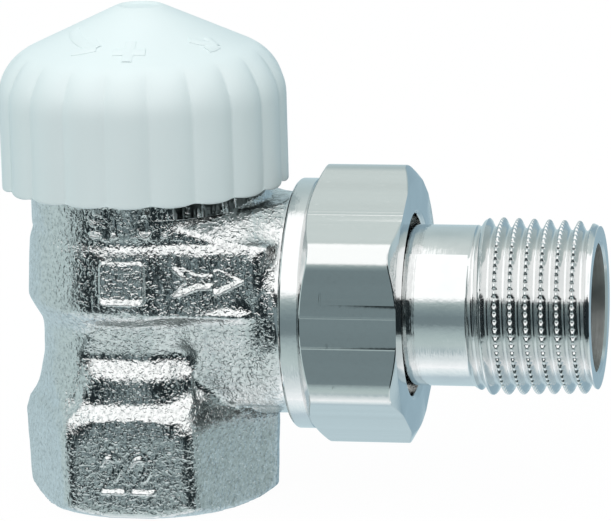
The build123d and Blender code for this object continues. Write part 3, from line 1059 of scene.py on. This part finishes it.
def remeshed(source, extras):
    """Closed even mesh of the body's solid with the extras grown into it."""
    work = bmesh.new()
    work.from_mesh(source)
    for extra in extras:
        work.from_mesh(extra)
        bpy.data.meshes.remove(extra)
    mesh = bpy.data.meshes.new("cast_source")
    work.to_mesh(mesh)
    work.free()
    item = linked("cast_source", mesh)
    voxels = item.modifiers.new("voxels", "REMESH")
    voxels.mode = "VOXEL"
    voxels.voxel_size = body_voxel * MM
    bpy.context.view_layer.update()
    evaluated = item.evaluated_get(bpy.context.evaluated_depsgraph_get())
    result = bpy.data.meshes.new_from_object(evaluated)
    bpy.data.objects.remove(item)
    bpy.data.meshes.remove(mesh)
    return result


def vertex_points(mesh):
    """Vertex places of a mesh in millimetres."""
    points = np.empty(len(mesh.vertices) * 3)
    mesh.vertices.foreach_get("co", points)
    return points.reshape(-1, 3) / MM


def vertex_normals(mesh):
    """Vertex normals of a mesh."""
    normals = np.empty(len(mesh.vertices) * 3)
    mesh.vertex_normals.foreach_get("vector", normals)
    return normals.reshape(-1, 3)


def place_vertices(mesh, points):
    """Moves the vertices of a mesh to places in millimetres."""
    mesh.vertices.foreach_set("co", (points * MM).ravel())
    mesh.update()


def cast_share(points):
    """1 on the rough cast outside, 0 on machined faces, bores and threads."""
    x, y, z = points.T
    stem_r = np.hypot(x, y)
    outlet_r = np.hypot(y, z - outlet_height)
    outside = (stem_r > cast_inner_r) & between(*cast_z, z) & (x < cast_end_x)
    return (outside & ((x < outlet_start_x) | (outlet_r > outlet_cast_r))).astype(float)


def relaxed(mesh, points, share, rounds):
    """Points pulled towards the middle of their neighbours, by a share of each."""
    edges = np.empty(len(mesh.edges) * 2, dtype=np.int64)
    mesh.edges.foreach_get("vertices", edges)
    a, b = edges.reshape(-1, 2).T
    count = np.bincount(a, minlength=len(points)) + np.bincount(b, minlength=len(points))
    for _ in range(rounds):
        total = np.stack([
            np.bincount(a, weights=points[b, axis], minlength=len(points))
            + np.bincount(b, weights=points[a, axis], minlength=len(points))
            for axis in range(3)
        ], axis=1)
        points = points + 0.5 * share[:, None] * (total / count[:, None] - points)
    return points


def on_hexagon(x, y, z, cast):
    """Hexagon with rounded corners, and a draft that grows towards its top."""
    outside = np.hypot(x, y)
    limit = hexagon_radius(np.arctan2(x, -y), hex_flats, hex_edge_round)
    draft = hex_draft + front_draft * smooth(*front_facing, np.abs(y) / np.maximum(outside, tiny))
    grown = np.minimum(outside, limit) + draft * np.clip(z / hex_draft_height, 0, 1) * smooth(*hex_fade_z, z)
    on_hex = cast & (z < hex_top) & (outside > hex_inner_r)
    scale = np.where(on_hex, grown / np.maximum(outside, tiny), 1.0)
    return x * scale, y * scale


def pads_and_waist(x, y, z, cast):
    """Crowned pads, the waist above them, and the arched flare down to the hexagon."""
    depth = np.abs(y)
    on_pad = cast & between(pad_foot[0], pad_top[0], z) & (depth > pad_inner) & (np.abs(x) < pad_half[0])
    moved = pad_shift * smooth(*pad_half, np.abs(x)) * smooth(*pad_foot, z) * smooth(*pad_top, z)
    x = x + np.where(on_pad, moved, 0.0)
    across = np.abs(x - pad_shift)
    near = cast & between(waist_low, waist[-1][0], z) & (depth > waist_inner) & (across < waist_half)
    crown = across ** 2 / (2 * pad_crown) * smooth(*pad_crown_z, z)
    arch = hex_arch * (across / hex_arch_half) ** 2 * np.clip((waist[1][0] - z) / hex_arch_height, 0, 1)
    front = np.interp(z + arch, *zip(*waist)) - crown
    barrel = np.sqrt(np.maximum(np.interp(z, *zip(*flare_radii)) ** 2 - x ** 2, 0.0))
    front = front + (barrel - front) * smooth(*flare_across, across) * smooth(*flare_z, z)
    front = front + waist_rise * smooth(*waist_rise_across, across) * smooth(*waist_rise_z, z)
    blend = smooth(*pad_end_x, x - pad_shift) * smooth(*pad_end_z, z)
    front = front + np.maximum(depth - front, 0.0) * blend
    on_flare = between(flare_low, waist[1][0], z) & (across < flare_half) & (depth > flare_inner)
    return x, np.where(near, np.sign(y) * np.where(on_flare, front, np.minimum(depth, front)), y)


def panel_and_boss(x, y, z, cast):
    """Panel that recedes and leans, and the outlet boss tucked in below it."""
    depth = np.abs(y)
    receding = panel_depth(x) + (depth - panel_depth(x)) * smooth(panel_length, panel_end, x)
    kept = depth + (np.minimum(depth, receding) - depth) * smooth(*panel_foot_z, z)
    foot = panel_foot + boss_rise * smooth(*boss_rise_x, x)
    tucked = np.clip(boss_tuck * (foot - z), 0.0, boss_tuck_limit)
    tucked = tucked * smooth(*tuck_start_x, x) * smooth(*tuck_end_x, x) * smooth(*tuck_z, z)
    kept = kept - tucked * smooth(*tuck_depth, depth)
    y = np.where(cast & (x > 0) & (z < panel_top) & (depth > tuck_depth[0]), np.sign(y) * kept, y)
    lean = np.where(cast & between(*panel_lean_z, z), panel_lean * (z - panel_middle), 0.0)
    bulged = np.hypot(x, y)
    drawn_in = np.where((x < 0) & (bulged > bulge_skin_r), 1 - lean / np.maximum(bulged, tiny), 1.0)
    x, y = x * drawn_in, y * drawn_in
    on_panel = (x >= 0) & (x < panel_end) & (np.abs(y) > panel_depth(x) - panel_skin)
    return x, np.where(on_panel, y - np.sign(y) * lean, y)


def upper_ledge(x, y, z, cast):
    """Chamfered ledge at the top of the bulge and of the panel."""
    ledge_z, ledge_inset = zip(*bulge_ledge)
    on_ledge = cast & between(ledge_z[0], ledge_z[-1], z)
    inset = np.interp(z, ledge_z, ledge_inset)
    shrink = np.minimum(1.0, (bulge_r - inset) / np.maximum(np.hypot(x, y), tiny))
    shrink = np.where(on_ledge & (x < 0), shrink, 1.0)
    x, y = x * shrink, y * shrink
    cut = np.sign(y) * np.minimum(np.abs(y), panel_depth(x) - inset)
    return x, np.where(on_ledge & (x >= 0), cut, y)


def shaped(points, share):
    """Cast outside with its forms from the hexagon up to the ledge, kept clear of the lowered cap."""
    x, y, z = points.T.copy()
    for form in (on_hexagon, pads_and_waist, panel_and_boss, upper_ledge):
        x, y = form(x, y, z, share > 0.5)
    under_cap = between(cap_r - cap_lip, cap_r + cap_margin, np.hypot(x, y)) & (x > cap_clear_x)
    z = np.where(under_cap, np.minimum(z, cap_low[2] - cap_travel - cap_margin), z)
    return np.stack([x, y, z], axis=1)


def cast_body(cast, turned):
    """Body with soft cast edges, raised marks and uneven skin, and with its machined faces left true."""
    source = frame["nodes"]["valve_body"].data.copy()
    flush = vertex_points(source)
    flush[:, 1] = np.maximum(flush[:, 1], -bulge_r)
    place_vertices(source, flush)
    mesh = remeshed(source, [web_mesh(-1), web_mesh(1)])
    bpy.data.meshes.remove(source)
    points = vertex_points(mesh)
    share = cast_share(points)
    points = shaped(relaxed(mesh, points, np.full(len(points), first_relax), first_rounds), share)
    softness = share * np.where(points[:, 2] < flat_relax_top, flat_relax, 1.0)
    points = relaxed(mesh, points, softness, cast_rounds)
    place_vertices(mesh, points)
    refined(mesh)
    points = vertex_points(mesh)
    share = cast_share(points)
    fine = np.any(mark_zones(points), axis=0)
    points = marked(relaxed(mesh, points, fine.astype(float), mark_rounds))
    place_vertices(mesh, points)
    rough = np.array([
        cast_lump_height * noise.noise(Vector(point) / cast_lump)
        + cast_grain_height * noise.noise(Vector(point) / cast_grain)
        for point in points
    ])
    points = points + vertex_normals(mesh) * (rough * share)[:, None]
    place_vertices(mesh, points)
    mesh.shade_smooth()
    mesh.materials.clear()
    mesh.materials.append(cast)
    mesh.materials.append(turned)
    for polygon in mesh.polygons:
        polygon.material_index = 0 if share[list(polygon.vertices)].mean() > 0.5 else 1
    mesh.name = "body_casting"
    return linked("body_casting", mesh)


# Return spring

def spring_copy():
    """Copy of the spring with its own mesh."""
    item = frame["nodes"]["return_spring"].copy()
    item.data = item.data.copy()
    item.name = "spring_coil"
    bpy.context.collection.objects.link(item)
    return item


# Stage

def make_floor():
    """Pale floor that keeps the valve's shadow and stays white to the camera."""
    mesh = bpy.data.meshes.new("floor")
    corners = [(floor_reach * x, floor_reach * y, 0.0) for x, y in ((-1, -1), (1, -1), (1, 1), (-1, 1))]
    mesh.from_pydata(corners, [], [(0, 1, 2, 3)])
    material, tree = blank_material("floor")
    tree.nodes.clear()
    matt = added(tree, "BsdfDiffuse", Color=(*grey(floor_white), 1.0))
    glow = added(tree, "Emission")
    mix = added(tree, "MixShader", Fac=floor_glow)
    tree.links.new(matt.outputs["BSDF"], mix.inputs[1])
    tree.links.new(glow.outputs["Emission"], mix.inputs[2])
    added(tree, "OutputMaterial", Surface=mix.outputs["Shader"])
    mesh.materials.append(material)
    item = linked("floor", mesh)
    item.visible_glossy = False
    item.visible_diffuse = False


def make_world():
    """Studio round the valve: bright above, dim in front, pale behind, and white to the camera."""
    world = bpy.data.worlds.new("studio")
    bpy.context.scene.world = world
    world.use_nodes = True
    tree = world.node_tree
    tree.nodes.clear()

    def math(operation, first, second=0.0, clamp=False):
        node = tree.nodes.new("ShaderNodeMath")
        node.operation = operation
        node.use_clamp = clamp
        for socket, value in zip(node.inputs, (first, second)):
            if isinstance(value, (int, float)):
                socket.default_value = value
            else:
                tree.links.new(value, socket)
        return node.outputs["Value"]

    def step(value, low, high):
        node = added(tree, "MapRange")
        node.interpolation_type = "SMOOTHSTEP"
        return fill(tree, node, Value=value, From_Min=low, From_Max=high).outputs["Result"]

    def mixed(share, first, second):
        node = added(tree, "Mix")
        node.data_type = "RGBA"
        return fill(tree, node, Factor=share, A=first, B=second).outputs["Result"]

    def along(azimuth):
        node = tree.nodes.new("ShaderNodeVectorMath")
        node.operation = "DOT_PRODUCT"
        tree.links.new(direction, node.inputs[0])
        node.inputs[1].default_value = towards(azimuth, 0.0)
        return math("DIVIDE", node.outputs["Value"], level)

    direction = added(tree, "TexCoord").outputs["Generated"]
    height = added(tree, "SeparateXYZ", Vector=direction).outputs["Z"]
    level = math("ADD", math("SQRT", math("SUBTRACT", 1.0, math("MULTIPLY", height, height), True)), 1e-4)
    ahead = along(camera_azimuth)
    side = math("MAXIMUM", math("MINIMUM", math("MULTIPLY", ahead, studio_fold), 1.0), -1.0)
    over = math("ARCTAN2", height, math("MULTIPLY", level, side))
    place = math("ADD", math("DIVIDE", over, 2 * pi), 0.5)

    def bands(front):
        stops = (*studio_below, *front, *studio_above)
        return ramp(tree, place, [((degrees + 180) / 360, colour) for degrees, colour in stops])

    low = step(math("ABSOLUTE", height), *studio_side_height)
    across = along(90.0)
    centre = step(along(-camera_azimuth), *studio_front_edge)
    sky = mixed(centre, bands(studio_dark), bands(studio_front))
    behind = math("MULTIPLY", step(ahead, *studio_behind_edge), step(across, *back_right_start))
    behind = math("MULTIPLY", behind, step(across, *back_right_end))
    parts = (
        (step(across, *studio_left_edge), studio_left),
        (step(across, *studio_right_edge), studio_right),
        (behind, studio_back_right),
    )
    for share, colour in parts:
        sky = mixed(math("MULTIPLY", share, low), sky, (*colour, 1.0))
    studio = added(tree, "Background", Color=sky)
    white = added(tree, "Background", Color=(1.0, 1.0, 1.0, 1.0))
    choose = added(tree, "MixShader", Fac=added(tree, "LightPath").outputs["Is Camera Ray"])
    tree.links.new(studio.outputs["Background"], choose.inputs[1])
    tree.links.new(white.outputs["Background"], choose.inputs[2])
    added(tree, "OutputWorld", Surface=choose.outputs["Shader"])


def towards(azimuth, elevation):
    """Direction from the valve at an azimuth from the front and an elevation, in degrees."""
    turn, rise = radians(azimuth), radians(elevation)
    return Vector((sin(turn) * cos(rise), -cos(turn) * cos(rise), sin(rise)))


def make_lamp():
    """Soft box to the upper left of the camera that lifts the matt surfaces."""
    lamp = bpy.data.lights.new("soft_box", "AREA")
    lamp.shape = "DISK"
    lamp.size = lamp_size
    lamp.energy = lamp_power
    item = linked("soft_box", lamp)
    back = towards(lamp_azimuth, lamp_elevation)
    item.location = Vector(camera_aim) * MM + lamp_distance * back
    item.rotation_mode = "QUATERNION"
    item.rotation_quaternion = (-back).to_track_quat("-Z", "Y")
    item.visible_glossy = False


def make_camera():
    """Camera at the photograph's viewpoint."""
    azimuth, roll = radians(camera_azimuth), radians(camera_roll)
    back = towards(camera_azimuth, camera_elevation)
    level = Vector((cos(azimuth), sin(azimuth), 0.0))
    up = back.cross(level)
    right = cos(roll) * level + sin(roll) * up
    top = cos(roll) * up - sin(roll) * level
    lens = bpy.data.cameras.new("camera")
    lens.sensor_width = sensor_width
    lens.lens = camera_focus_px * sensor_width / image_width
    lens.shift_x = -camera_shift_px[0] / image_width
    lens.shift_y = camera_shift_px[1] / image_width
    lens.clip_start = 0.01
    item = linked("camera", lens)
    eye = (Vector(camera_aim) + camera_distance * back) * MM
    item.matrix_world = Matrix.Translation(eye) @ Matrix((right, top, back)).transposed().to_4x4()
    bpy.context.scene.camera = item


cast = cast_nickel()
turned = turned_nickel()
drawn = drawn_nickel()
bored = bored_nickel()
plastic = white_plastic()
rubber = black_rubber()
brass = plain_metal("bare_brass", (0.80, 0.58, 0.28), (0.62, 0.42, 0.18), 0.24)
steel = plain_metal("stainless", grey(0.64), grey(0.5), 0.2)

finishes = {"bare_brass": brass, "stainless": steel, "black_rubber": rubber}
for subpart in frame["record"]["subparts"]:
    finish = finishes.get(subpart["material_slot"])
    if finish is not None:
        node = frame["nodes"][subpart["node"]]
        node.data.materials.clear()
        node.data.materials.append(finish)

body = cast_body(cast, turned)
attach(body, "valve")
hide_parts("valve_body")

cap = lobed_cap(plastic)
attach(cap, "cap")
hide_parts("protective_cap")

marks = cap_marks(plastic)
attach(marks, "cap")

nut = union_nut(drawn, turned)
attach(nut, "nut")
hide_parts("union_nut")

tail = tail_piece(turned, bored)
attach(tail, "tail")
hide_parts("tail_piece")

spring = spring_copy()
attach(spring, "valve")
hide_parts("return_spring")
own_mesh(spring)

make_floor()
make_world()
make_lamp()
make_camera()
bpy.context.scene.view_settings.view_transform = "Standard"
